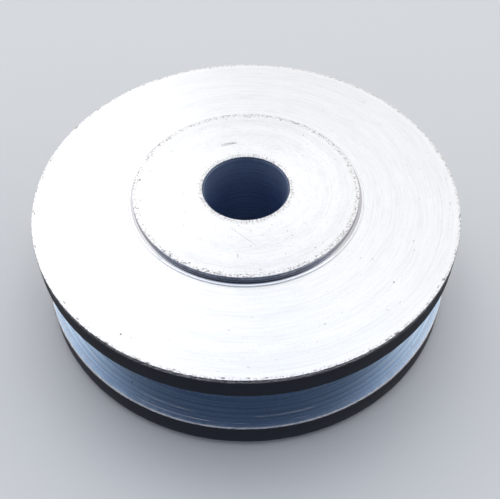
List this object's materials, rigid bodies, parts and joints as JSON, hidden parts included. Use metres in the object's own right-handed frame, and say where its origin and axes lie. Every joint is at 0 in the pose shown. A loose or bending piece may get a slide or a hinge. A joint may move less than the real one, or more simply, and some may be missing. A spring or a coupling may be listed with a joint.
{
  "type": "v belt pulley",
  "caption": "Single-groove V belt pulley: zinc-plated steel sheave on a low-bossed hub with a plain shaft bore and radial set screws.",
  "frame": {"origin": "on the bore's axis, midway between the two faces, in the middle plane of the belt groove", "axes": "+Z along the bore, out of the upper face; the two set screws lie in the XY plane, 45 degrees either side of -Y"},
  "size_m": [0.08, 0.08, 0.0234],
  "materials": {
    "zinc_plated_steel": "bright zinc plating with a slight blue tint over fine concentric turning marks",
    "worn_zinc_steel": "duller zinc plating over coarser turning marks, with specks, pits and a rubbed edge",
    "black_oxide_steel": "black oxide alloy steel, slightly oily"
  },
  "bodies": {
    "pulley": {"sheave": "zinc_plated_steel", "hub": "worn_zinc_steel"},
    "set_screw_left": {"set_screw_left": "black_oxide_steel"},
    "set_screw_right": {"set_screw_right": "black_oxide_steel"}
  },
  "joints": [
    {"name": "left_screw_travel", "type": "slide", "parent": "pulley", "child": "set_screw_left", "axis": [0.7071, 0.7071, 0], "range_m": [-0.007, 0.0008]},
    {"name": "right_screw_travel", "type": "slide", "parent": "pulley", "child": "set_screw_right", "axis": [-0.7071, 0.7071, 0], "range_m": [-0.007, 0.0008]}
  ]
}
